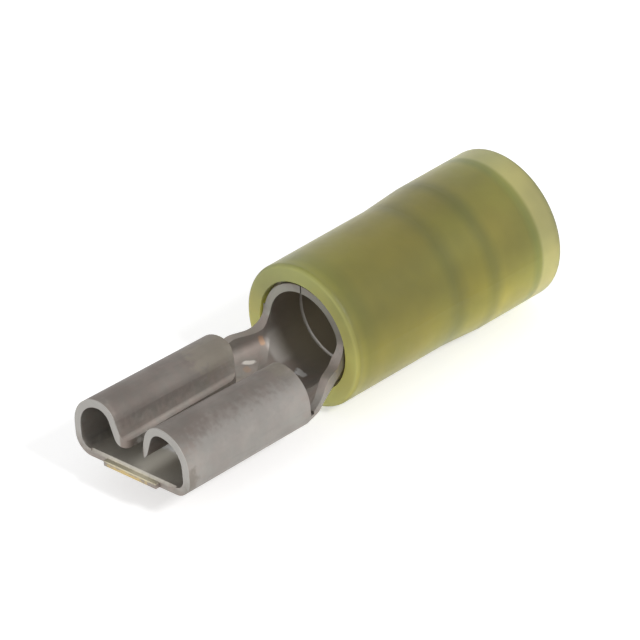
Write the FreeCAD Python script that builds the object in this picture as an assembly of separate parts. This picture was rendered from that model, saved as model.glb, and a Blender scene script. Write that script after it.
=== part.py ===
import FreeCAD, Part
import math
import os

from FreeCAD import Vector

# Insulated female spade terminal. The origin is the centre of the tab slot at its mouth.
# +Y runs along the terminal from the mouth to the wire end, +Z is up, +X is across the tab.

os.makedirs("parts", exist_ok=True)

# The male tab that the receptacle is made for
tab_width = 6.35
tab_thickness = 0.80
tab_side_clearance = 0.25
lip_bite = 0.05

# Pressing stock
sheet = 0.40

# Receptacle: flat base, two rolled sides, lips that spring down on the tab
receptacle_length = 8.15
receptacle_front_height = 3.27
receptacle_rear_height = 3.05
base_bend_radius = 0.57
lip_outer_bend_radius = 1.15
lip_inner_bend_radius = 0.30
lip_slope_deg = 70.0
lip_slot = 0.90
lip_front_corner_radius = 0.60
lip_rear_corner_radius = 1.10
mouth_chamfer_depth = 0.12
mouth_chamfer_height = 0.12
cutoff_width = 3.50
cutoff_length = 0.25
cutoff_height = 0.28

# Detent in the base that clicks into the hole of the tab
detent_distance = 4.00
detent_radius = 0.85
detent_height = 0.20

# Neck: a narrowing channel with low walls that drops and rounds off into the barrel
neck_length = 3.55
neck_run_in = 0.02
neck_bend_radius = 1.25
neck_shoulder_step = 0.09
neck_shoulder_spread = 0.20
neck_shoulder_bend_radius = 0.80
neck_slit_length = 0.25
neck_slit_height = 0.35
neck_ramp_start = 0.50
neck_ramp_length = 1.40
neck_ramp_rounding = 0.80
neck_wall_height = 1.42
neck_trim_allowance = 0.10
neck_overlap = 1.30

# Crease across the neck where the drop to the barrel begins: a rounded V, seen from above
crease_set_back = 0.57
crease_spread = 1.30
crease_rounding = 1.00
crease_lean = 0.60
crease_lean_height = 1.00
drop_length = 0.90
trough_spread = 1.00
trough_bend_high_deg = 22.0
trough_bend_low_deg = 56.0

# Wire barrel: a rolled tube with a butt seam on top and grooves inside
barrel_bore = 4.60
barrel_drop = 0.50
barrel_front_corner_radius = 1.10
barrel_length = 6.60
seam_gap = 0.08
barrel_entry_chamfer = 0.15
groove_first = 2.10
groove_pitch = 1.30
groove_count = 3
groove_width = 0.34
groove_depth = 0.10

# Insulation grip: a thin metal tube between the barrel and the nylon, belled behind the barrel
grip_wall = 0.25
grip_clearance = 0.02
grip_set_back = 0.50
grip_bell_set_back = 0.22
bell_length = 2.43
grip_bell_rise = 0.36
grip_rear_set_back = 1.63

# Nylon sleeve over everything behind the neck
sleeve_overhang = 0.13
sleeve_front_wall = 0.76
sleeve_rear_wall = 0.56
sleeve_mouth_length = 4.67
sleeve_lip_height = 0.12
sleeve_clearance = 0.02
sleeve_front_rounding = 0.22
sleeve_rear_rounding = 0.30
sleeve_rear_land = 0.06

# Levels and half widths that follow from the sizes above
floor_top = -tab_thickness / 2
floor_bottom = floor_top - sheet
receptacle_half_width = tab_width / 2 + tab_side_clearance + sheet
neck_wall_top = floor_top + neck_wall_height
blank_wall_top = neck_wall_top + barrel_front_corner_radius + neck_trim_allowance

# Radii about the barrel's axis, from the bore outwards
barrel_inner_radius = barrel_bore / 2
barrel_outer_radius = barrel_inner_radius + sheet
barrel_axis_z = floor_top - barrel_drop + barrel_inner_radius
neck_inner_half = barrel_inner_radius - neck_run_in
grip_inner_radius = barrel_outer_radius + grip_clearance
grip_bell_radius = grip_inner_radius + grip_bell_rise
sleeve_inner_radius = grip_inner_radius + grip_wall + sleeve_clearance
sleeve_bell_radius = grip_bell_radius + grip_wall + sleeve_clearance

# Places along the terminal, from the mouth backwards
neck_wall_front = receptacle_length + neck_slit_length
crease_middle = receptacle_length + crease_set_back
trough_middle = crease_middle + drop_length
barrel_front = receptacle_length + neck_length
neck_end = barrel_front + neck_overlap
barrel_rear = barrel_front + barrel_length
bell_start = barrel_rear + grip_bell_set_back
bell_end = bell_start + bell_length
sleeve_front = barrel_front - sleeve_overhang
sleeve_rear = bell_end + sleeve_mouth_length

# Larger than the terminal in every direction, and the middle of a quarter arc of radius 1
far = 50.0
half_way = math.sqrt(0.5)

# Points taken along each edge of a section that is bent out of its plane
curve_points = 5


def sheet_chain(start, heading, steps, offset):
    """Edges of a bent strip, seen along Y, at a distance to the left of its middle line."""
    edges = []
    point = Vector(start[0], 0, start[1])
    for kind, size, turn in steps:
        direction = Vector(math.cos(heading), 0, math.sin(heading))
        left = Vector(-math.sin(heading), 0, math.cos(heading))
        if kind == "straight":
            following = point + direction * size
            edges.append(Part.makeLine(point + left * offset, following + left * offset))
        else:
            side = math.copysign(1.0, turn)
            centre = point + left * (side * size)
            radius_arm = (left * -side) * (size - side * offset)
            y_axis = Vector(0, -1, 0)
            middle_arm = FreeCAD.Rotation(y_axis, math.degrees(turn) / 2).multVec(radius_arm)
            end_arm = FreeCAD.Rotation(y_axis, math.degrees(turn)).multVec(radius_arm)
            edges.append(Part.Arc(centre + radius_arm, centre + middle_arm, centre + end_arm).toShape())
            following = centre + end_arm * (size / (size - side * offset))
            heading += turn
        point = following
    return edges


def strip_outline(start, heading, steps, thickness):
    """Closed outline of a bent strip of even thickness about its middle line."""
    one_side = sheet_chain(start, heading, steps, thickness / 2)
    other_side = sheet_chain(start, heading, steps, -thickness / 2)
    caps = [
        Part.makeLine(one_side[0].Vertexes[0].Point, other_side[0].Vertexes[0].Point),
        Part.makeLine(one_side[-1].Vertexes[-1].Point, other_side[-1].Vertexes[-1].Point),
    ]
    return Part.Wire(Part.__sortEdges__(one_side + other_side + caps))


def mirrored(shape):
    """The shape's twin on the other side of the middle plane."""
    return shape.mirror(Vector(0, 0, 0), Vector(1, 0, 0))


def block(x_low, x_high, y_low, y_high, z_low, z_high):
    """A box between two corners."""
    corner = Vector(x_low, y_low, z_low)
    return Part.makeBox(x_high - x_low, y_high - y_low, z_high - z_low, corner)


def lip_reach(height):
    """How long the lip's straight is under a roof of this height, and how far in the lip reaches."""
    slope = math.radians(lip_slope_deg)
    bends = lip_outer_bend_radius + lip_inner_bend_radius
    drop = height - 2 * sheet - tab_thickness + lip_bite - bends * (1 - math.cos(slope))
    straight = drop / math.sin(slope)
    return straight, bends * math.sin(slope) + straight * math.cos(slope)


def roll_section(height, y):
    """Half of the rolled section, as a closed outline, and how far from the middle its lip ends."""
    middle = sheet / 2
    slope = math.radians(lip_slope_deg)
    outer_bend = lip_outer_bend_radius - middle
    inner_bend = lip_inner_bend_radius + middle
    base_bend = base_bend_radius + middle
    side = receptacle_half_width - middle
    shoulder = side - lip_reach(receptacle_front_height)[1] - lip_slot / 2
    side_height = height - sheet - base_bend - shoulder
    lip_straight, lip_run = lip_reach(height)
    strip = [
        ("straight", side - base_bend, 0),
        ("bend", base_bend, math.pi / 2),
        ("straight", side_height, 0),
        ("bend", shoulder, math.pi / 2),
        ("bend", outer_bend, slope),
        ("straight", lip_straight, 0),
        ("bend", inner_bend, -slope),
    ]
    outline = strip_outline((0, floor_bottom + middle), 0.0, strip, sheet)
    outline.translate(Vector(0, y, 0))
    return outline, side - shoulder - lip_run


def receptacle_body():
    """Floor, sides, shoulders and lips: one bent strip on each side, a little lower at the rear."""
    front, front_tip = roll_section(receptacle_front_height, 0.0)
    rear, rear_tip = roll_section(receptacle_rear_height, receptacle_length)
    half = Part.makeLoft([front, rear], True, True)
    body = half.fuse(mirrored(half)).removeSplitter()
    body = body.cut(lip_corner_cutter(front_tip, 0.0, lip_front_corner_radius, 1))
    body = body.cut(lip_corner_cutter(rear_tip, receptacle_length, lip_rear_corner_radius, -1))
    return body


def lip_corner_cutter(tip_x, end_y, radius, inward):
    """Trumpet outline between the lips, seen from above, that rounds their end corners."""
    reach = end_y + inward * radius
    arc_middle = radius * (1 - half_way)
    right = Part.Arc(
        Vector(tip_x, reach, 0),
        Vector(tip_x + arc_middle, end_y + inward * arc_middle, 0),
        Vector(tip_x + radius, end_y, 0),
    ).toShape()
    left = mirrored(right)
    outside = end_y - inward
    corners = [
        Vector(tip_x + radius, end_y, 0),
        Vector(tip_x + radius, outside, 0),
        Vector(-tip_x - radius, outside, 0),
        Vector(-tip_x - radius, end_y, 0),
    ]
    lines = [Part.makeLine(a, b) for a, b in zip(corners, corners[1:])]
    lines.append(Part.makeLine(Vector(tip_x, reach, 0), Vector(-tip_x, reach, 0)))
    outline = Part.Face(Part.Wire(Part.__sortEdges__([right, left] + lines)))
    outline.translate(Vector(0, 0, floor_top + tab_thickness / 2))
    return outline.extrude(Vector(0, 0, far))


def mouth_chamfer():
    """Wedge that bevels the top front edge of the flat floor as a lead-in for the tab."""
    inside = receptacle_half_width - sheet - base_bend_radius
    corners = [
        Vector(-inside, 0, floor_top - mouth_chamfer_height),
        Vector(-inside, mouth_chamfer_depth, floor_top),
        Vector(-inside, -mouth_chamfer_depth, floor_top),
        Vector(-inside, -mouth_chamfer_depth, floor_top - mouth_chamfer_height),
    ]
    wedge = Part.Face(Part.makePolygon(corners + corners[:1]))
    return wedge.extrude(Vector(2 * inside, 0, 0))


def cutoff_stub():
    """Stub left where the terminal was sheared from its carrier strip."""
    half = cutoff_width / 2
    return block(-half, half, -cutoff_length, 0, floor_bottom, floor_bottom + cutoff_height)


def detent_dome(top):
    """Ball whose cap stands above a level by the height of the detent."""
    ball_radius = (detent_radius ** 2 + detent_height ** 2) / (2 * detent_height)
    ball = Part.makeSphere(ball_radius)
    ball.translate(Vector(0, detent_distance, top + detent_height - ball_radius))
    above = block(-far, far, -far, far, top, far)
    return ball.common(above)


def channel_section(inner_half, bend_radius):
    """Closed outline of the open channel: a flat floor with two upright walls."""
    bottom = floor_top + bend_radius
    wall_top = blank_wall_top
    edges = []
    for half, radius, level in (
        (inner_half, bend_radius, floor_top),
        (inner_half + sheet, bend_radius + sheet, floor_bottom),
    ):
        side = half - radius
        slant = radius * half_way
        corner = Part.Arc(
            Vector(side, 0, level),
            Vector(side + slant, 0, bottom - slant),
            Vector(half, 0, bottom),
        ).toShape()
        wall = Part.makeLine(Vector(half, 0, bottom), Vector(half, 0, wall_top))
        floor = Part.makeLine(Vector(side, 0, level), Vector(-side, 0, level))
        edges += [floor, corner, wall, mirrored(corner), mirrored(wall)]
    rim = Part.makeLine(Vector(inner_half, 0, wall_top), Vector(inner_half + sheet, 0, wall_top))
    edges += [rim, mirrored(rim)]
    return Part.Wire(Part.__sortEdges__(edges))


def trough_section():
    """Closed outline of the barrel's lower wall, with as many edges as the channel has."""
    edges = []
    rim_ends = []
    for radius in (barrel_inner_radius, barrel_outer_radius):
        wall_top = math.asin((blank_wall_top - barrel_axis_z) / radius)
        splits = [wall_top, -math.radians(trough_bend_high_deg), -math.radians(trough_bend_low_deg)]
        for high, low in zip(splits, splits[1:]):
            side = trough_arc(radius, high, low)
            edges += [side, mirrored(side)]
        edges.append(trough_arc(radius, splits[-1], -math.pi - splits[-1]))
        rim_ends.append(trough_point(radius, wall_top))
    rim = Part.makeLine(*rim_ends)
    edges += [rim, mirrored(rim)]
    return Part.Wire(Part.__sortEdges__(edges))


def trough_point(radius, angle):
    """Point on a circle about the barrel's axis."""
    return Vector(radius * math.cos(angle), 0, barrel_axis_z + radius * math.sin(angle))


def trough_arc(radius, start, end):
    """Arc about the barrel's axis between two angles."""
    points = [trough_point(radius, angle) for angle in (start, (start + end) / 2, end)]
    return Part.Arc(*points).toShape()


def set_back(outline, middle_y, spread, lean):
    """The flat outline bent backwards: later at the sides than in the middle, and later higher up."""
    edges = []
    for edge in outline.Edges:
        points = []
        for point in edge.discretize(curve_points):
            sideways = spread * (math.hypot(point.x, crease_rounding) - crease_rounding)
            upwards = lean * math.tanh((point.z - floor_top) / crease_lean_height)
            points.append(Vector(point.x, middle_y + sideways + upwards, point.z))
        curve = Part.BezierCurve()
        curve.interpolate([[point] for point in points])
        edges.append(curve.toShape())
    return Part.Wire(Part.__sortEdges__(edges))


def neck_body():
    """Floor and walls behind the receptacle, the crease, and the drop to the barrel's level."""
    wide_half = receptacle_half_width - sheet
    wide = channel_section(wide_half, base_bend_radius)
    wide.translate(Vector(0, receptacle_length, 0))
    shoulder = channel_section(wide_half - neck_shoulder_step, neck_shoulder_bend_radius)
    shoulder = set_back(shoulder, neck_wall_front, neck_shoulder_spread, 0)
    crease = channel_section(neck_inner_half, neck_bend_radius)
    crease = set_back(crease, crease_middle, crease_spread, crease_lean)
    trough = set_back(trough_section(), trough_middle, trough_spread, crease_lean)
    end = trough_section()
    end.translate(Vector(0, neck_end, 0))
    return Part.makeLoft([wide, shoulder, crease, trough, end], True, True)


def barrel_tube():
    """Full tube about the barrel's axis, left open where the neck supplies its lower wall."""
    start = Vector(0, receptacle_length, barrel_axis_z)
    length = barrel_rear - receptacle_length
    along = Vector(0, 1, 0)
    tube = Part.makeCylinder(barrel_outer_radius, length, start, along)
    tube = tube.cut(Part.makeCylinder(barrel_inner_radius, length, start, along))
    return tube.cut(block(-far, far, 0, neck_end, -far, blank_wall_top))


def neck_trim():
    """Side outline of what the blank leaves open above the neck, cut across the whole width."""
    slit_bottom = floor_top + neck_slit_height
    ramp_bottom = floor_top + neck_ramp_start
    ramp_top = neck_wall_front + neck_ramp_length
    slope = math.atan2(neck_wall_top - ramp_bottom, neck_ramp_length)
    tangent = neck_ramp_rounding * math.tan(slope / 2)
    ramp_end = Vector(0, ramp_top - tangent * math.cos(slope), neck_wall_top - tangent * math.sin(slope))
    rounding_centre = Vector(0, ramp_top + tangent, neck_wall_top - neck_ramp_rounding)
    rounding_arm = Vector(0, -math.sin(slope / 2), math.cos(slope / 2)) * neck_ramp_rounding
    fillet = barrel_front_corner_radius
    slant = 1 - half_way
    corners = [
        Vector(0, barrel_front, neck_wall_top + fillet),
        Vector(0, barrel_front, far),
        Vector(0, receptacle_length, far),
        Vector(0, receptacle_length, slit_bottom),
        Vector(0, neck_wall_front, slit_bottom),
        Vector(0, neck_wall_front, ramp_bottom),
        ramp_end,
    ]
    outline = [Part.makeLine(a, b) for a, b in zip(corners, corners[1:])]
    outline += [
        Part.Arc(
            ramp_end,
            rounding_centre + rounding_arm,
            Vector(0, ramp_top + tangent, neck_wall_top),
        ).toShape(),
        Part.makeLine(
            Vector(0, ramp_top + tangent, neck_wall_top),
            Vector(0, barrel_front - fillet, neck_wall_top),
        ),
        Part.Arc(
            Vector(0, barrel_front - fillet, neck_wall_top),
            Vector(0, barrel_front - slant * fillet, neck_wall_top + slant * fillet),
            Vector(0, barrel_front, neck_wall_top + fillet),
        ).toShape(),
    ]
    face = Part.Face(Part.Wire(outline))
    face.translate(Vector(-far, 0, 0))
    return face.extrude(Vector(2 * far, 0, 0))


def barrel_grooves():
    """Rings cut into the bore that bite the strands when the barrel is crimped."""
    grooves = []
    for index in range(groove_count):
        y = barrel_front + groove_first + index * groove_pitch
        half = groove_width / 2
        inside = barrel_inner_radius - groove_depth
        outside = barrel_inner_radius + groove_depth
        grooves.append(revolved([(inside, y - half), (outside, y), (inside, y + half)]))
    return grooves


def revolved(corners):
    """Solid of revolution about the barrel's axis from corners given as radius and y."""
    points = [Vector(radius, y, barrel_axis_z) for radius, y in corners]
    face = Part.Face(Part.makePolygon(points + points[:1]))
    return face.revolve(Vector(0, 0, barrel_axis_z), Vector(0, 1, 0), 360)


def terminal_body():
    """The whole pressing: receptacle, neck and barrel from one strip of sheet."""
    body = receptacle_body().cut(mouth_chamfer()).fuse(cutoff_stub())
    body = body.fuse(detent_dome(floor_top))
    body = body.cut(detent_dome(floor_bottom))
    rear = neck_body().fuse(barrel_tube()).cut(neck_trim())
    entry = [
        (barrel_inner_radius, barrel_rear - barrel_entry_chamfer),
        (barrel_inner_radius + barrel_entry_chamfer, barrel_rear),
        (barrel_inner_radius, barrel_rear),
    ]
    rear = rear.cut(revolved(entry))
    for groove in barrel_grooves():
        rear = rear.cut(groove)
    half_seam = seam_gap / 2
    seam = block(-half_seam, half_seam, receptacle_length, far, barrel_axis_z, far)
    return body.fuse(rear.cut(seam)).removeSplitter()


def insulation_grip():
    """Thin drawn tube: a close fit over the barrel, then a bell for the wire's insulation."""
    front = sleeve_front + grip_set_back
    rear = sleeve_rear - grip_rear_set_back
    outline = [
        (grip_inner_radius, front),
        (grip_inner_radius, bell_start),
        (grip_bell_radius, bell_end),
        (grip_bell_radius, rear),
        (grip_bell_radius + grip_wall, rear),
        (grip_bell_radius + grip_wall, bell_end),
        (grip_inner_radius + grip_wall, bell_start),
        (grip_inner_radius + grip_wall, front),
    ]
    return revolved(outline)


def nylon_sleeve():
    """Moulded sleeve: a lip at the front, a step up over the grip's bell, a plain rear mouth."""
    front_radius = sleeve_inner_radius + sleeve_front_wall
    rear_radius = sleeve_bell_radius + sleeve_rear_wall
    lip = sleeve_inner_radius - sleeve_lip_height
    lip_end = sleeve_front + grip_set_back - sleeve_clearance
    entry = sleeve_rear_wall - sleeve_rear_rounding - sleeve_rear_land
    outline = [
        (lip, sleeve_front),
        (front_radius, sleeve_front),
        (front_radius, bell_start),
        (rear_radius, bell_end),
        (rear_radius, sleeve_rear),
        (sleeve_bell_radius + entry, sleeve_rear),
        (sleeve_bell_radius, sleeve_rear - entry),
        (sleeve_bell_radius, bell_end),
        (sleeve_inner_radius, bell_start),
        (sleeve_inner_radius, lip_end),
        (lip, lip_end),
    ]
    sleeve = revolved(outline)
    sleeve = sleeve.makeFillet(sleeve_front_rounding, rim_edges(sleeve, front_radius, sleeve_front))
    return sleeve.makeFillet(sleeve_rear_rounding, rim_edges(sleeve, rear_radius, sleeve_rear))


def rim_edges(solid, radius, y):
    """The circular edges of a solid of revolution at one radius and one place along it."""
    found = []
    for edge in solid.Edges:
        on_circle = isinstance(edge.Curve, Part.Circle) and abs(edge.Curve.Radius - radius) < 1e-6
        if on_circle and abs(edge.Curve.Center.y - y) < 1e-6:
            found.append(edge)
    return found


nodes = {
    "terminal_body": terminal_body(),
    "insulation_grip": insulation_grip(),
    "nylon_sleeve": nylon_sleeve(),
}

for name, shape in nodes.items():
    solid = shape if shape.ShapeType == "Solid" else shape.Solids[0]
    print(name, shape.isValid(), len(shape.Solids), round(solid.Volume, 3))
    solid.exportStep("parts/" + name + ".step")
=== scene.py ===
import bpy
from mathutils import Matrix, Vector


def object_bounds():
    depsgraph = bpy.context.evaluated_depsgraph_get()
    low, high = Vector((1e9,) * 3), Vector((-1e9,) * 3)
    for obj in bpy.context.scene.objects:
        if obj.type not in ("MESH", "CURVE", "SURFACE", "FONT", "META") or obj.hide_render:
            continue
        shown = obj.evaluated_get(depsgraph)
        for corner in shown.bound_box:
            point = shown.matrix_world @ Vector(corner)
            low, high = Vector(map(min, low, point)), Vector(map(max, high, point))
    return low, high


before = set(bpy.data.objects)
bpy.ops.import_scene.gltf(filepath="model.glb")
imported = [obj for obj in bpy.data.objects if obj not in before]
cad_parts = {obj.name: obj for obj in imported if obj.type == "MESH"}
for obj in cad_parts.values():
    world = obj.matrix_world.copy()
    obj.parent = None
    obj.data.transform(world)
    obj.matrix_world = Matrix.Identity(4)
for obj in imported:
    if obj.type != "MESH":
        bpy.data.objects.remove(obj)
cad_low, cad_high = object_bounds()

# Camera
# A long lens about 0.4 m away looks down on the terminal's mouth from its right side. Its place,
# aim and tilt were fitted to the outlines of the sleeve, its rims and the rolled receptacle.
photo_pixels = 640
focal_pixels = 8579.5
nearest_view = 0.01
farthest_view = 10
camera_place = Vector((0.25924, -0.23028, 0.20747))
camera_target = Vector((0.00451, 0.00858, 0.00531))
image_up = Vector((-0.3175, 0.4084, 0.8558))
camera_back = (camera_place - camera_target).normalized()
camera_right = image_up.cross(camera_back).normalized()
camera_turn = Matrix((camera_right, camera_back.cross(camera_right), camera_back)).transposed()
bpy.ops.object.camera_add(location=camera_place, rotation=camera_turn.to_euler())
camera = bpy.context.object
camera.name = "camera"
camera.data.lens = focal_pixels * camera.data.sensor_width / photo_pixels
camera.data.clip_start = nearest_view
camera.data.clip_end = farthest_view
bpy.context.scene.camera = camera
bpy.context.scene.view_settings.view_transform = "Standard"

# Floor and light
# The terminal lies on a sheet of white paper in a white room. The key lamp stands to the right,
# where it lights the flanks and the left wall of the crimp barrel, and a weak one at the mouth.
floor_size = 3.0
floor_level = cad_low.z
paper_colour = (0.80, 0.80, 0.80, 1)
paper_roughness = 0.9
paper_gloss = 0.2
paper_glow = 0.50
pure_white = (1, 1, 1, 1)
room_light = 0.55
white_room_light = 1.0
# Each lamp is a disk: its name, its place, how wide it is and its power in watts.
lamps = [
    ("side_lamp", Vector((0.50, -0.015, 0.40)), 0.12, 1.8),
    ("front_fill", Vector((-0.10, -0.55, 0.16)), 0.50, 0.75),
]


def feed(tree, source, socket):
    """Link a socket to another node's output, or set it to a plain value."""
    if isinstance(source, bpy.types.NodeSocket):
        tree.links.new(source, socket)
    else:
        socket.default_value = source


def work_out(tree, operation, *values):
    """A Math node's result for sockets or plain numbers."""
    step = tree.nodes.new("ShaderNodeMath")
    step.operation = operation
    for value, socket in zip(values, step.inputs):
        feed(tree, value, socket)
    return step.outputs[0]


def sees_white(tree):
    """1 for the view itself and for what the metal mirrors or the nylon lets through."""
    ray = tree.nodes.new("ShaderNodeLightPath")
    seen = work_out(tree, "MAXIMUM", ray.outputs["Is Camera Ray"], ray.outputs["Is Glossy Ray"])
    return work_out(tree, "MAXIMUM", seen, ray.outputs["Is Transmission Ray"])


bpy.ops.mesh.primitive_plane_add(size=floor_size, location=(0, 0, floor_level))
paper = bpy.context.object
paper.name = "floor"
white_paper = bpy.data.materials.new("white_paper")
white_paper.use_nodes = True
tree = white_paper.node_tree
shader = tree.nodes["Principled BSDF"]
shader.inputs["Base Color"].default_value = paper_colour
shader.inputs["Roughness"].default_value = paper_roughness
shader.inputs["Specular IOR Level"].default_value = paper_gloss
shader.inputs["Emission Color"].default_value = pure_white
glow = work_out(tree, "MULTIPLY", sees_white(tree), paper_glow)
tree.links.new(glow, shader.inputs["Emission Strength"])
paper.data.materials.append(white_paper)

room = bpy.data.worlds.new("white_room")
bpy.context.scene.world = room
room.use_nodes = True
tree = room.node_tree
background = tree.nodes["Background"]
background.inputs["Color"].default_value = pure_white
strength = tree.nodes.new("ShaderNodeMapRange")
strength.inputs["To Min"].default_value = room_light
strength.inputs["To Max"].default_value = white_room_light
tree.links.new(sees_white(tree), strength.inputs["Value"])
tree.links.new(strength.outputs["Result"], background.inputs["Strength"])

for name, lamp_place, lamp_size, lamp_power in lamps:
    lamp_turn = lamp_place.to_track_quat("Z", "Y").to_euler()
    bpy.ops.object.light_add(type="AREA", location=lamp_place, rotation=lamp_turn)
    lamp = bpy.context.object
    lamp.name = name
    lamp.data.shape = "DISK"
    lamp.data.size = lamp_size
    lamp.data.energy = lamp_power

# Terminal body: receptacle, neck and crimp barrel
# One pressing of 0.4 mm brass strip, rolled over at both sides for the tab and into a barrel for
# the wire. It was tin plated before it was cut, so the sheared edges and sharpest bends are bare.
mouth = 0.0
receptacle_middle = 0.0041
barrel_front = 0.0117
first_groove_distance = 0.0021
first_groove = barrel_front + first_groove_distance
floor_top = -0.0004
barrel_axis = 0.0014
roll_middle = 0.0022
flank_side = 0.0043
past_all_sides = 0.012

matte_tin = (0.272, 0.240, 0.217, 1)
bright_tin = (0.345, 0.311, 0.283, 1)
shaded_tin = (0.22, 0.205, 0.185, 1)
ridge_shade_tin = (0.125, 0.108, 0.097, 1)
flank_light_tin = (0.36, 0.35, 0.33, 1)
hazed_tin = (0.26, 0.235, 0.185, 1)
stained_tin = (0.205, 0.180, 0.150, 1)
sheared_tin = (0.43, 0.42, 0.395, 1)
rim_tin = (0.36, 0.355, 0.31, 1)
lit_wall_tin = (0.47, 0.44, 0.41, 1)
bend_highlight_tin = (0.90, 0.85, 0.79, 1)
stub_tin = (0.66, 0.60, 0.41, 1)
painted_highlight_tin = (0.90, 0.90, 0.90, 1)
bore_light_tin = (0.40, 0.355, 0.27, 1)
floor_light_tin = (0.64, 0.615, 0.54, 1)
bare_brass = (0.60, 0.46, 0.21, 1)
rubbed_copper = (0.50, 0.32, 0.205, 1)

strip_metallic = 0.72
strip_blotches = 420
strip_relief = 0.25
plating_depth = 0.00002
blotch_detail = 4
blotch_roughness = 0.6
blotch_edges = (0.36, 0.68)
grain_fineness = 4200
grain_detail = 3
grain_stretch = (1.0, 0.12, 1.0)
grain_edges = (0.55, 0.80)
grain_darkness = (0, 0.55)
tint_fineness = 1500
tint_detail = 2
warm_tint = (0.38, (1.035, 0.99, 0.975, 1))
cool_tint = (0.64, (0.97, 1.0, 0.99, 1))
gloss_edges = (0.3, 0.7)
matte_to_bright_roughness = (0.62, 0.50)
fringe_fineness = 3200
fringe_detail = 3
patch_fade = (1.25, 0.85)
whole_range = (0, 1)
in_full = 1.0

# A colour Mix node has its two colours and its result at these places in its lists of sockets.
under, over, mixed = 6, 7, 2


def add_inlets(group, *sockets):
    """Inputs of a node group, each a name and a kind."""
    for name, kind in sockets:
        group.interface.new_socket(name, in_out="INPUT", socket_type=kind)


def add_outlets(group, *sockets):
    """Outputs of a node group, each a name and a kind."""
    for name, kind in sockets:
        group.interface.new_socket(name, in_out="OUTPUT", socket_type=kind)


def add_speckle(tree, place, fineness, detail):
    """Noise over a piece: the higher the fineness, the smaller the specks."""
    speckle = tree.nodes.new("ShaderNodeTexNoise")
    speckle.inputs["Detail"].default_value = detail
    feed(tree, fineness, speckle.inputs["Scale"])
    tree.links.new(place, speckle.inputs["Vector"])
    return speckle


def spread(tree, value, edges, results, smooth=False):
    """Turn a value between two edges into one between two results, kept within them."""
    band = tree.nodes.new("ShaderNodeMapRange")
    if smooth:
        band.interpolation_type = "SMOOTHSTEP"
    band.inputs["From Min"].default_value, band.inputs["From Max"].default_value = edges
    band.inputs["To Min"].default_value, band.inputs["To Max"].default_value = results
    tree.links.new(value, band.inputs["Value"])
    return band.outputs["Result"]


def lay_over(tree, amount, colour_under, colour_over, blend="MIX"):
    """One colour laid over another, as far as the amount says."""
    layer = tree.nodes.new("ShaderNodeMix")
    layer.data_type = "RGBA"
    layer.blend_type = blend
    feed(tree, amount, layer.inputs["Factor"])
    feed(tree, colour_under, layer.inputs[under])
    feed(tree, colour_over, layer.inputs[over])
    return layer.outputs[mixed]


def add_tones(tree, value, *tones):
    """A ramp of colours, each at its place between 0 and 1."""
    ramp = tree.nodes.new("ShaderNodeValToRGB")
    stops = ramp.color_ramp.elements
    while len(stops) < len(tones):
        stops.new(1.0)
    for stop, (place, colour) in zip(stops, tones):
        stop.position = place
        stop.color = colour
    tree.links.new(value, ramp.inputs["Fac"])
    return ramp.outputs["Color"]


def add_relief(tree, shader, height, amount, depth):
    """Small unevenness of the surface."""
    relief = tree.nodes.new("ShaderNodeBump")
    relief.inputs["Strength"].default_value = amount
    relief.inputs["Distance"].default_value = depth
    tree.links.new(height, relief.inputs["Height"])
    tree.links.new(relief.outputs["Normal"], shader.inputs["Normal"])


def vector_step(tree, operation, *values):
    """A Vector Math node for sockets or plain vectors."""
    step = tree.nodes.new("ShaderNodeVectorMath")
    step.operation = operation
    for value, socket in zip(values, step.inputs):
        feed(tree, value, socket)
    return step


# The plating: cloudy blotches, dark grain drawn out along the strip, and faint warm and cool tints.
plating = bpy.data.node_groups.new("tin_plating", "ShaderNodeTree")
add_inlets(
    plating,
    ("Place", "NodeSocketVector"),
    ("Blotches", "NodeSocketFloat"),
    ("Matte", "NodeSocketColor"),
    ("Bright", "NodeSocketColor"),
    ("Dark", "NodeSocketColor"),
)
add_outlets(
    plating,
    ("Colour", "NodeSocketColor"),
    ("Roughness", "NodeSocketFloat"),
    ("Relief", "NodeSocketFloat"),
)
given = plating.nodes.new("NodeGroupInput").outputs
result = plating.nodes.new("NodeGroupOutput").inputs
cloud = add_speckle(plating, given["Place"], given["Blotches"], blotch_detail)
cloud.inputs["Roughness"].default_value = blotch_roughness
blotches = spread(plating, cloud.outputs["Fac"], blotch_edges, whole_range, smooth=True)
blotched = lay_over(plating, blotches, given["Matte"], given["Bright"])
drawn_out = vector_step(plating, "MULTIPLY", given["Place"], grain_stretch)
grain = add_speckle(plating, drawn_out.outputs[0], grain_fineness, grain_detail)
streaks = spread(plating, grain.outputs["Fac"], grain_edges, grain_darkness)
streaked = lay_over(plating, streaks, blotched, given["Dark"])
tint = add_speckle(plating, given["Place"], tint_fineness, tint_detail)
tones = add_tones(plating, tint.outputs["Fac"], warm_tint, cool_tint)
tinted = lay_over(plating, in_full, streaked, tones, blend="MULTIPLY")
gloss = spread(plating, cloud.outputs["Fac"], gloss_edges, matte_to_bright_roughness)
plating.links.new(tinted, result["Colour"])
plating.links.new(gloss, result["Roughness"])
plating.links.new(grain.outputs["Fac"], result["Relief"])
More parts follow.
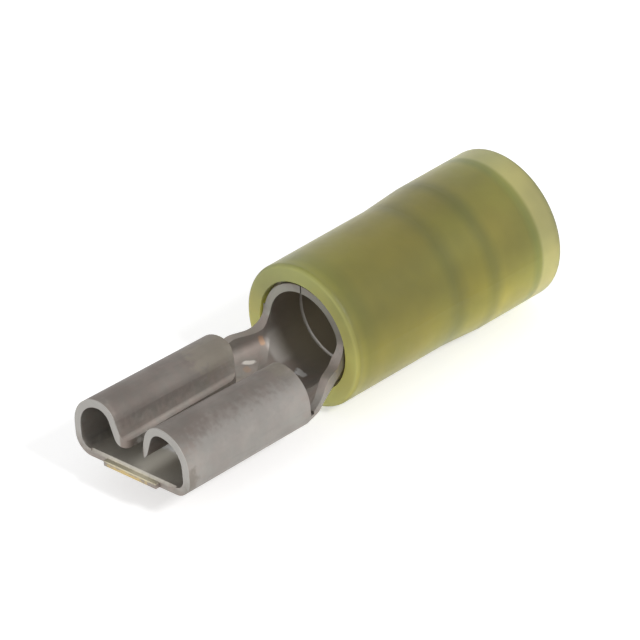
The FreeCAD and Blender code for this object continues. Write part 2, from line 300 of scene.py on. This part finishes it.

# A patch, for worn marks and for painted light and shade: a mask shaped like a rounded box about a
# centre, with a ragged edge.
wear_and_light_patch = bpy.data.node_groups.new("wear_and_light_patch", "ShaderNodeTree")
add_inlets(
    wear_and_light_patch,
    ("Place", "NodeSocketVector"),
    ("Centre", "NodeSocketVector"),
    ("Reach", "NodeSocketVector"),
    ("Raggedness", "NodeSocketFloat"),
    ("Strength", "NodeSocketFloat"),
)
add_outlets(wear_and_light_patch, ("Mask", "NodeSocketFloat"))
given = wear_and_light_patch.nodes.new("NodeGroupInput").outputs
result = wear_and_light_patch.nodes.new("NodeGroupOutput").inputs
offset = vector_step(wear_and_light_patch, "SUBTRACT", given["Place"], given["Centre"])
relative = vector_step(wear_and_light_patch, "DIVIDE", offset.outputs[0], given["Reach"])
squared = vector_step(wear_and_light_patch, "MULTIPLY", relative.outputs[0], relative.outputs[0])
squared_length = vector_step(wear_and_light_patch, "LENGTH", squared.outputs[0])
distance = work_out(wear_and_light_patch, "SQRT", squared_length.outputs["Value"])
fringe = add_speckle(wear_and_light_patch, given["Place"], fringe_fineness, fringe_detail)
ragged = work_out(wear_and_light_patch, "MULTIPLY_ADD", fringe.outputs["Fac"], given["Raggedness"], distance)
inside = spread(wear_and_light_patch, ragged, patch_fade, whole_range, smooth=True)
mask = work_out(wear_and_light_patch, "MULTIPLY", inside, given["Strength"])
wear_and_light_patch.links.new(mask, result["Mask"])


def start_metal(name, metal, blotches, matte, bright, dark):
    """A plated metal with its colour not yet linked, and the piece's own coordinates."""
    material = bpy.data.materials.new(name)
    material.use_nodes = True
    tree = material.node_tree
    shader = tree.nodes["Principled BSDF"]
    shader.inputs["Metallic"].default_value = metal
    place = tree.nodes.new("ShaderNodeTexCoord").outputs["Object"]
    plate = tree.nodes.new("ShaderNodeGroup")
    plate.node_tree = plating
    plate.inputs["Blotches"].default_value = blotches
    plate.inputs["Matte"].default_value = matte
    plate.inputs["Bright"].default_value = bright
    plate.inputs["Dark"].default_value = dark
    tree.links.new(place, plate.inputs["Place"])
    tree.links.new(plate.outputs["Roughness"], shader.inputs["Roughness"])
    return material, shader, place, plate


def lay_wear_and_light(tree, place, colour_under, name, colour, centre, reach, raggedness, amount):
    """The metal's colour with one patch laid over it, a worn mark or painted light and shade."""
    patch = tree.nodes.new("ShaderNodeGroup")
    patch.name = name
    patch.node_tree = wear_and_light_patch
    patch.inputs["Centre"].default_value = centre
    patch.inputs["Reach"].default_value = reach
    patch.inputs["Raggedness"].default_value = raggedness
    patch.inputs["Strength"].default_value = amount
    tree.links.new(place, patch.inputs["Place"])
    return lay_over(tree, patch.outputs["Mask"], colour_under, colour)


# A row says the patch's name and colour, its centre, its reach each way, how ragged its edge is
# and how much it covers. The first rows are for both sides, with the distance from the middle.
twin_patches = [
    # Painted shade: the tops of both rolls are painted darker.
    ("ridge_painted_shade", ridge_shade_tin,
     (roll_middle, receptacle_middle, 0.0027), (0.0026, 0.0052, 0.0018), 0.4, 0.6),
    # Painted light: the outer flanks of both rolls are painted lighter and cooler, in two layers.
    ("shoulder_painted_light", flank_light_tin,
     (flank_side, 0.0042, 0.0008), (0.0021, 0.0055, 0.0024), 0.7, 0.28),
    ("flank_painted_light", flank_light_tin,
     (flank_side, 0.0042, 0.0006), (0.0014, 0.0055, 0.0017), 0.5, 0.32),
]
body_patches = [
    (side + "_" + name, colour, (away * sign, along, height), reach, raggedness, amount)
    for name, colour, (away, along, height), reach, raggedness, amount in twin_patches
    for side, sign in (("left", -1), ("right", 1))
]
body_patches += [
    ("left_roll_haze", hazed_tin,
     (-0.0017, 0.0072, 0.0020), (0.0016, 0.0026, 0.0013), 1.0, 0.5),
    ("right_roll_haze", hazed_tin,
     (roll_middle, 0.0080, 0.0024), (0.0013, 0.0014, 0.0009), 1.0, 0.4),
    ("front_corner_stain", stained_tin,
     (0.0038, mouth + 0.0001, 0.0001), (0.0006, 0.0008, 0.0011), 1.0, 0.65),
    ("sheared_mouth_rims", sheared_tin,
     (0, mouth, 0.0016), (past_all_sides, 0.00007, 0.0022), 0.5, 0.8),
    # The sheared lip edges, painted near white as a highlight on them.
    ("sheared_lip_edges_highlight", painted_highlight_tin,
     (0, mouth + 0.0013, 0.0005), (0.00056, 0.0009, 0.0007), 0.6, 0.85),
    ("sheared_stub_top", stub_tin,
     (0, mouth - 0.00022, floor_top), (0.0022, 0.00030, 0.00024), 0.4, 0.9),
    ("brass_stub_face", bare_brass,
     (-0.0002, mouth - 0.00027, -0.00078), (0.0021, 0.00010, 0.00026), 1.0, 0.95),
    ("left_crease_copper", rubbed_copper,
     (-0.00227, 0.01102, 0.00062), (0.00030, 0.00020, 0.00034), 0.9, 0.8),
    ("right_crease_copper", rubbed_copper,
     (0.00227, 0.01105, 0.00050), (0.00030, 0.00018, 0.00030), 0.9, 0.7),
    ("sheared_barrel_rim", rim_tin,
     (0, barrel_front, 0.0026), (0.0032, 0.00012, 0.0016), 0.5, 0.9),
    # Painted light: a lighter patch on the barrel's lower left wall, just inside its front, stands
    # for a pool of light.
    ("left_bore_wall_painted_light", lit_wall_tin,
     (-0.0018, barrel_front, 0.0002), (0.00055, 0.00060, 0.0009), 0.2, 0.8),
    # Painted highlight: a near-white line along the bend at the neck's left floor.
    ("left_bend_painted_highlight", bend_highlight_tin,
     (-0.00219, 0.00998, -0.0001), (0.00032, 0.00044, 0.00007), 0.6, 0.6),
    ("left_floor_warm", rubbed_copper,
     (-0.0020, 0.00965, -0.00027), (0.00034, 0.00024, 0.00014), 0.9, 0.35),
    # Painted highlight: a near-white spot on the trough's floor at the barrel's front.
    ("trough_painted_highlight", painted_highlight_tin,
     (-0.00042, barrel_front - 0.00003, -0.00085), (0.00054, 0.00030, 0.00018), 0.9, 0.75),
    # Painted light: the floor inside the receptacle is painted much lighter.
    ("inner_floor_painted_light", floor_light_tin,
     (0, 0.0042, floor_top + 0.00003), (0.0034, 0.0047, 0.00020), 0.2, 0.9),
    # Painted reflection: a near-white band across the receptacle's floor behind the mouth.
    ("floor_painted_reflection", painted_highlight_tin,
     (0, 0.0030, floor_top), (0.0026, 0.00100, 0.00012), 0.5, 0.75),
    # Painted light: the barrel's bore is painted lighter and warmer.
    ("bore_painted_light", bore_light_tin,
     (0, 0.0155, barrel_axis), (0.00252, 0.0036, 0.00252), 0.05, 0.9),
    # The first groove is not shaped: a bright ring around the barrel stands for it, a painted
    # highlight.
    ("first_groove", painted_highlight_tin,
     (0, first_groove, barrel_axis), (past_all_sides, 0.00010, past_all_sides), 0.2, 0.45),
]
tinned_brass, shader, place, plate = start_metal(
    "tinned_brass", strip_metallic, strip_blotches, matte_tin, bright_tin, shaded_tin)
tree = tinned_brass.node_tree
dressed = plate.outputs["Colour"]
for patch_row in body_patches:
    dressed = lay_wear_and_light(tree, place, dressed, *patch_row)
tree.links.new(dressed, shader.inputs["Base Color"])
add_relief(tree, shader, plate.outputs["Relief"], strip_relief, plating_depth)
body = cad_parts["terminal_body"]
body.data.materials.clear()
body.data.materials.append(tinned_brass)

# Insulation grip
# A drawn tube of thin brass pressed over the crimp barrel, belled at the back to take the wire's
# insulation. Its plating is thinner and yellower than the strip's, and its cut rear edge is bare.
grip_rear_set_back = 0.00163
grip_rear_edge = cad_high.y - grip_rear_set_back
grip_matte = (0.30, 0.27, 0.20, 1)
grip_bright = (0.40, 0.36, 0.27, 1)
grip_dark = (0.20, 0.17, 0.12, 1)
grip_metallic = 0.75
grip_blotches = 600
grip_relief = 0.2
rear_edge_patch = (
    "bare_rear_edge", bare_brass,
    (0, grip_rear_edge, barrel_axis), (past_all_sides, 0.00012, past_all_sides), 0.4, 0.9)
thin_tin, shader, place, plate = start_metal(
    "thin_tinned_tube", grip_metallic, grip_blotches, grip_matte, grip_bright, grip_dark)
tree = thin_tin.node_tree
edged = lay_wear_and_light(tree, place, plate.outputs["Colour"], *rear_edge_patch)
tree.links.new(edged, shader.inputs["Base Color"])
add_relief(tree, shader, plate.outputs["Relief"], grip_relief, plating_depth)
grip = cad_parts["insulation_grip"]
grip.data.materials.clear()
grip.data.materials.append(thin_tin)

# Nylon sleeve
# Moulded in translucent yellow nylon and pushed over the barrel and the grip. Painted shade darkens
# it over the metal inside, the tube's ends and bell show as painted dark rings, and the front face
# and open rear end are painted paler.
sleeve_overhang = 0.00013
sleeve_front = barrel_front - sleeve_overhang
sleeve_end = cad_high.y
grip_front_set_back = 0.0005
grip_front_edge = barrel_front + grip_front_set_back
bell_start = 0.01852
bell_full = 0.02095
ring_wander = 0.0001
nylon_clearness = 0.55
nylon_ior = 1.53
sheen_amount = 0.34
sheen_spread = 0.42
sheen_colour = (1.0, 0.98, 0.82, 1)
cloud_fineness = 260
cloud_detail = 3
dark_cloud = (0.35, (0.80, 0.80, 0.76, 1))
light_cloud = (0.68, (1.14, 1.12, 1.06, 1))
hue_fineness = 150
hue_detail = 2
warm_hue = (0.40, (1.02, 0.98, 0.92, 1))
cool_hue = (0.62, (0.96, 1.03, 1.04, 1))
top_to_underside = (0.0030, -0.0008)
painted_light_top_to_underside = (0.83, 1.55)
skin_fineness = 2600
skin_detail = 2
skin_roughness = (0.42, 0.60)
skin_relief = 0.15
skin_depth = 0.00003
# Painted light and shade along the sleeve: darker over the metal inside, dark rings at the tube's
# ends and bell, lighter at the front face and the open rear end.
nylon_painted_shading = [
    # the front face and its rounded rim
    (sleeve_front, (0.96, 0.94, 0.33, 1)),
    (sleeve_front + 0.00005, (0.66, 0.64, 0.19, 1)),
    (sleeve_front + 0.00017, (0.43, 0.41, 0.085, 1)),
    # the ring at the grip's front edge
    (grip_front_edge - 0.00020, (0.43, 0.41, 0.060, 1)),
    (grip_front_edge + 0.00015, (0.34, 0.33, 0.043, 1)),
    (grip_front_edge + 0.00055, (0.34, 0.325, 0.042, 1)),
    # the length over the crimp barrel
    (grip_front_edge + 0.00110, (0.39, 0.36, 0.045, 1)),
    (bell_start - 0.00067, (0.40, 0.365, 0.045, 1)),
    # the ring where the bell starts
    (bell_start - 0.00012, (0.31, 0.295, 0.040, 1)),
    (bell_start + 0.00018, (0.32, 0.300, 0.042, 1)),
    # the cone
    (bell_start + 0.00078, (0.43, 0.395, 0.050, 1)),
    (bell_full - 0.00065, (0.43, 0.395, 0.050, 1)),
    # the ring where the bell is full
    (bell_full - 0.00015, (0.32, 0.310, 0.045, 1)),
    (bell_full + 0.00015, (0.33, 0.320, 0.048, 1)),
    # the length over the bell
    (bell_full + 0.00070, (0.47, 0.435, 0.065, 1)),
    (grip_rear_edge - 0.00049, (0.47, 0.440, 0.070, 1)),
    # the ring at the grip's rear edge
    (grip_rear_edge - 0.00011, (0.28, 0.300, 0.055, 1)),
    (grip_rear_edge + 0.00013, (0.30, 0.315, 0.062, 1)),
    # the open rear end and its rim
    (grip_rear_edge + 0.00033, (0.63, 0.600, 0.250, 1)),
    (sleeve_end - 0.00027, (0.64, 0.615, 0.270, 1)),
    (sleeve_end - 0.00008, (0.32, 0.350, 0.100, 1)),
]
sleeve_length = sleeve_end - sleeve_front
painted_shading_stops = [((reached - sleeve_front) / sleeve_length, shade) for reached, shade in nylon_painted_shading]
painted_shading_edges = (sleeve_front + ring_wander / 2, sleeve_end + ring_wander / 2)

yellow_nylon = bpy.data.materials.new("yellow_nylon")
yellow_nylon.use_nodes = True
tree = yellow_nylon.node_tree
shader = tree.nodes["Principled BSDF"]
shader.inputs["Transmission Weight"].default_value = nylon_clearness
shader.inputs["IOR"].default_value = nylon_ior
shader.inputs["Sheen Weight"].default_value = sheen_amount
shader.inputs["Sheen Roughness"].default_value = sheen_spread
shader.inputs["Sheen Tint"].default_value = sheen_colour
place = tree.nodes.new("ShaderNodeTexCoord").outputs["Object"]
axes = tree.nodes.new("ShaderNodeSeparateXYZ")
tree.links.new(place, axes.inputs[0])
clouds = add_speckle(tree, place, cloud_fineness, cloud_detail).outputs["Fac"]
wandered = work_out(tree, "MULTIPLY_ADD", clouds, ring_wander, axes.outputs["Y"])
along = spread(tree, wandered, painted_shading_edges, whole_range)
painted_shading = add_tones(tree, along, *painted_shading_stops)
cloud_tones = add_tones(tree, clouds, dark_cloud, light_cloud)
clouded = lay_over(tree, in_full, painted_shading, cloud_tones, blend="MULTIPLY")
hues = add_speckle(tree, place, hue_fineness, hue_detail).outputs["Fac"]
hue_tones = add_tones(tree, hues, warm_hue, cool_hue)
hued = lay_over(tree, in_full, clouded, hue_tones, blend="MULTIPLY")
# Painted light: the sleeve is painted lighter towards its underside and darker at its top.
painted_underside_light = spread(tree, axes.outputs["Z"], top_to_underside, painted_light_top_to_underside, smooth=True)
painted_lit = vector_step(tree, "SCALE", hued)
tree.links.new(painted_underside_light, painted_lit.inputs["Scale"])
tree.links.new(painted_lit.outputs[0], shader.inputs["Base Color"])
skin = add_speckle(tree, place, skin_fineness, skin_detail).outputs["Fac"]
skin_gloss = spread(tree, skin, whole_range, skin_roughness)
tree.links.new(skin_gloss, shader.inputs["Roughness"])
add_relief(tree, shader, skin, skin_relief, skin_depth)
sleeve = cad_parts["nylon_sleeve"]
sleeve.data.materials.clear()
sleeve.data.materials.append(yellow_nylon)
